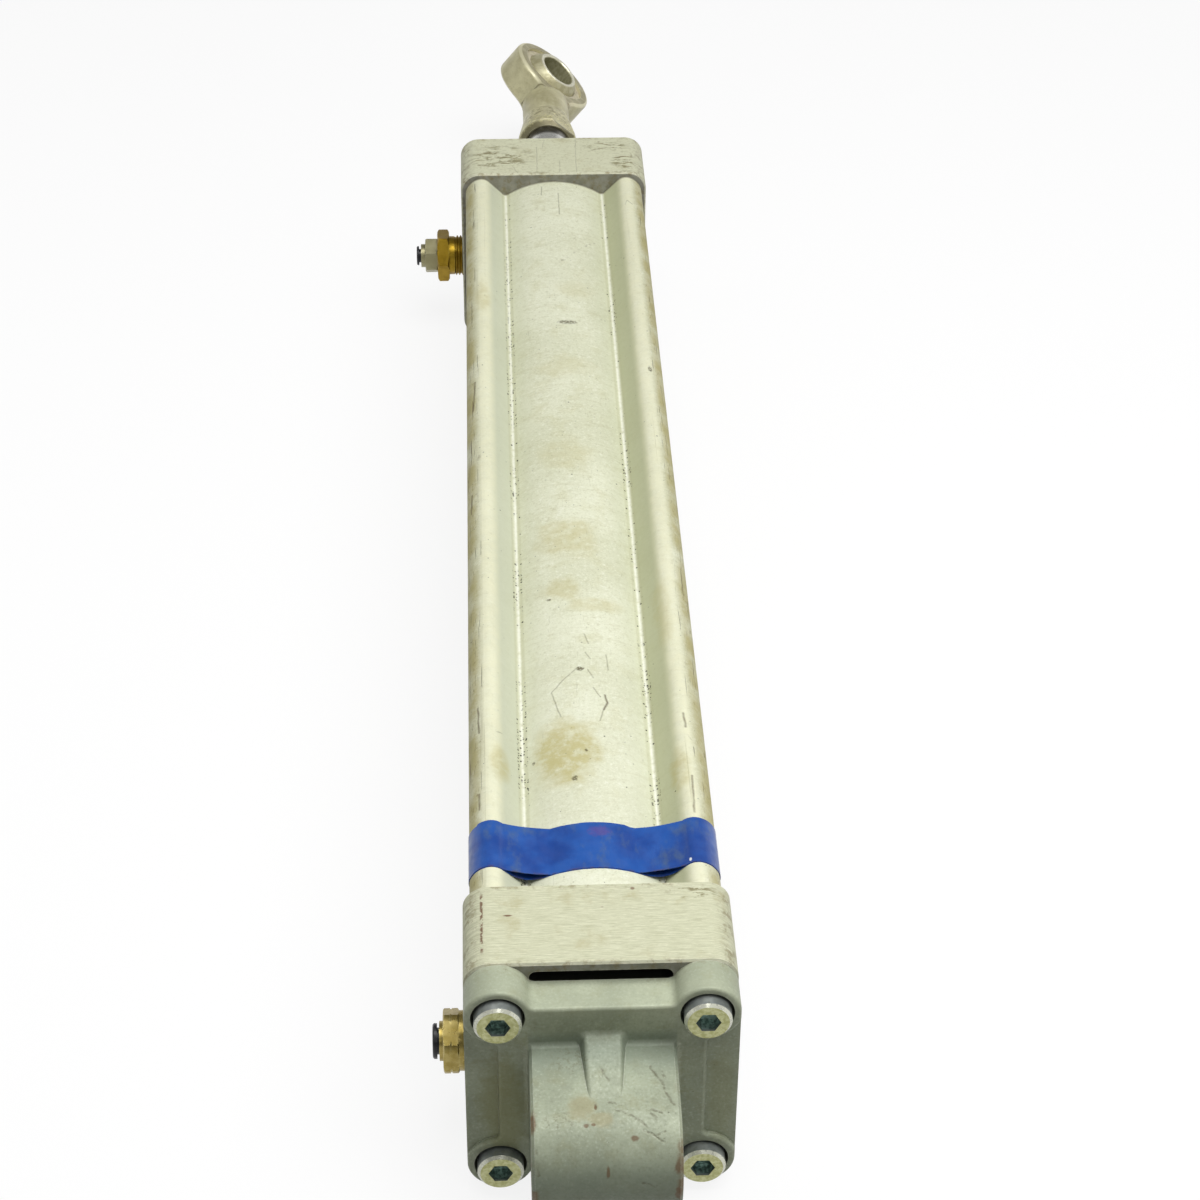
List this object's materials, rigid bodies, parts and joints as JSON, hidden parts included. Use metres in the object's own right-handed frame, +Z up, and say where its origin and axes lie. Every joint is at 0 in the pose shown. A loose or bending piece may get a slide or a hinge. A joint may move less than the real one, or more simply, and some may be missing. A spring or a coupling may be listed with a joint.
{
  "type": "pneumatic cylinder",
  "caption": "Double-acting pneumatic cylinder with profiled tube, square end caps, rear swivel eye flange, ball-jointed rod eye and push-in air fittings.",
  "frame": {"origin": "centre of the rear swivel eye's bore", "axes": "+X along the rear eye's bore, +Y along the rod the way it comes out, +Z up; the air fittings are on the -X side"},
  "size_m": [0.0942, 0.6875, 0.075],
  "materials": {
    "anodised_tube": "matte anodised",
    "cast_cap": "die cast, milled faces",
    "cast_flange": "die cast",
    "zinc_steel": "yellowish zinc plating",
    "piston_metal": "turned",
    "seal_rubber": "matte",
    "guide_plastic": "bearing plastic",
    "magnet_plastic": "bonded magnet",
    "bearing_bronze": "sintered",
    "chrome_rod": "hard chrome, polished",
    "forged_steel": "passivated forging",
    "ball_steel": "polished",
    "fitting_brass": "turned",
    "nickel": "nickel plated brass",
    "grip_steel": "spring steel",
    "black_plastic": "moulded",
    "blue_tape": "self-adhesive film"
  },
  "bodies": {
    "barrel": {"barrel_profile": "anodised_tube", "front_cap": "cast_cap", "rear_cap": "cast_cap", "rear_swivel_flange": "cast_flange", "flange_screws": "zinc_steel", "front_cap_screws": "zinc_steel", "rear_cap_screws": "zinc_steel", "rod_bush": "bearing_bronze", "rod_wiper_seal": "seal_rubber", "front_cap_oring": "seal_rubber", "rear_cap_oring": "seal_rubber", "front_cushion_seal": "seal_rubber", "rear_cushion_seal": "seal_rubber", "front_reducer": "fitting_brass", "front_push_in_body": "nickel", "front_tube_grip": "grip_steel", "front_tube_oring": "seal_rubber", "rear_fitting_body": "fitting_brass", "rear_tube_grip": "grip_steel", "rear_tube_oring": "seal_rubber", "tape_band": "blue_tape"},
    "piston_rings": {"front_piston_seal": "seal_rubber", "rear_piston_seal": "seal_rubber", "piston_guide_ring": "guide_plastic"},
    "rod": {"piston_rod": "chrome_rod", "piston_front_half": "piston_metal", "piston_rear_half": "piston_metal", "piston_magnet": "magnet_plastic", "front_cushion_sleeve": "piston_metal", "rear_cushion_sleeve": "piston_metal", "piston_nut": "zinc_steel", "rod_eye_housing": "forged_steel", "rod_eye_liner": "guide_plastic"},
    "eye_ball": {"rod_eye_ball": "ball_steel"},
    "front_collar": {"front_release_collar": "black_plastic"},
    "rear_collar": {"rear_release_collar": "black_plastic"},
    "front_needle_ring": {"front_cushion_screw_oring": "seal_rubber"},
    "front_needle": {"front_cushion_screw": "fitting_brass"},
    "rear_needle_ring": {"rear_cushion_screw_oring": "seal_rubber"},
    "rear_needle": {"rear_cushion_screw": "fitting_brass"}
  },
  "joints": [
    {"name": "rod_slide", "type": "slide", "parent": "barrel", "child": "piston_rings", "axis": [0, 1, 0], "range_m": [-0.029, 0.341]},
    {"name": "rod_spin", "type": "hinge", "parent": "piston_rings", "child": "rod", "pos_m": [0, 0.651, 0], "axis": [0, 1, 0], "continuous": true},
    {"name": "eye_ball_tilt", "type": "hinge", "parent": "rod", "child": "eye_ball", "pos_m": [0, 0.651, 0], "axis": [-0.766, 0, 0.6428], "range_deg": [-9, 21]},
    {"name": "front_collar_press", "type": "slide", "parent": "barrel", "child": "front_collar", "axis": [1, 0, 0], "range_m": [0, 0.0008], "stiffness_N_per_m": 2000},
    {"name": "rear_collar_press", "type": "slide", "parent": "barrel", "child": "rear_collar", "axis": [1, 0, 0], "range_m": [0, 0.0006], "stiffness_N_per_m": 2000},
    {"name": "front_needle_travel", "type": "slide", "parent": "barrel", "child": "front_needle_ring", "axis": [1, 0, 0], "range_m": [-0.001, 0.001]},
    {"name": "front_needle_turn", "type": "hinge", "parent": "front_needle_ring", "child": "front_needle", "pos_m": [-0.03, 0.506, 0.012], "axis": [1, 0, 0], "range_deg": [-363, 363]},
    {"name": "rear_needle_travel", "type": "slide", "parent": "barrel", "child": "rear_needle_ring", "axis": [1, 0, 0], "range_m": [-0.001, 0.001]},
    {"name": "rear_needle_turn", "type": "hinge", "parent": "rear_needle_ring", "child": "rear_needle", "pos_m": [-0.03, 0.049, 0.012], "axis": [1, 0, 0], "range_deg": [-363, 363]}
  ],
  "couplings": [
    {"joint": "front_needle_turn", "follows": "front_needle_travel", "rad_per_m": 6283.2},
    {"joint": "rear_needle_turn", "follows": "rear_needle_travel", "rad_per_m": 6283.2}
  ]
}
